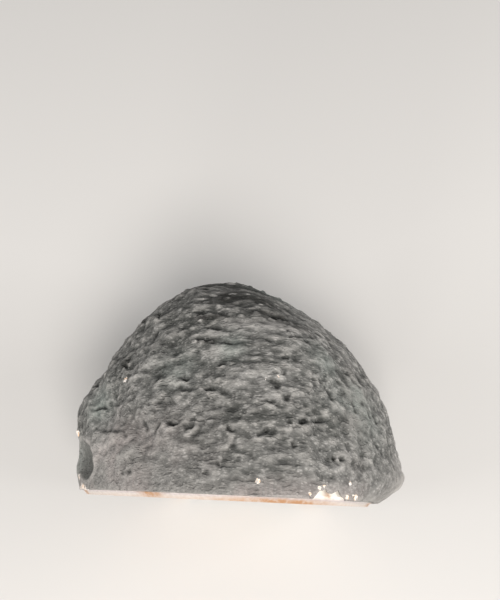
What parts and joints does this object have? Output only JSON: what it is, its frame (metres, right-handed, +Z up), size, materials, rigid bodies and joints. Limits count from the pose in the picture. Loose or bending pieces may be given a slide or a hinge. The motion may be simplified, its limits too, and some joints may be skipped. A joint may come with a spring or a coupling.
{
  "type": "citrine geode",
  "caption": "Half nodule of quartz standing on a sawn base, its polished rim open on a hollow lined with citrine points.",
  "frame": {"origin": "on the plane of the sawn base, under the stone", "axes": "+Z up from the base it stands on, -Y out of the polished open front, +X to the right of someone looking at that front"},
  "size_m": [0.1529, 0.1049, 0.1611],
  "materials": {
    "rind": "rough, weathered, dark grey-green",
    "quartz_wall": "polished on the front and its bevel, sawn matt on the base",
    "citrine_crust": "clear amber crystal with bright natural faces"
  },
  "bodies": {
    "root": {"rind": "rind", "quartz_wall": "quartz_wall", "citrine_crust": "citrine_crust"}
  },
  "joints": []
}
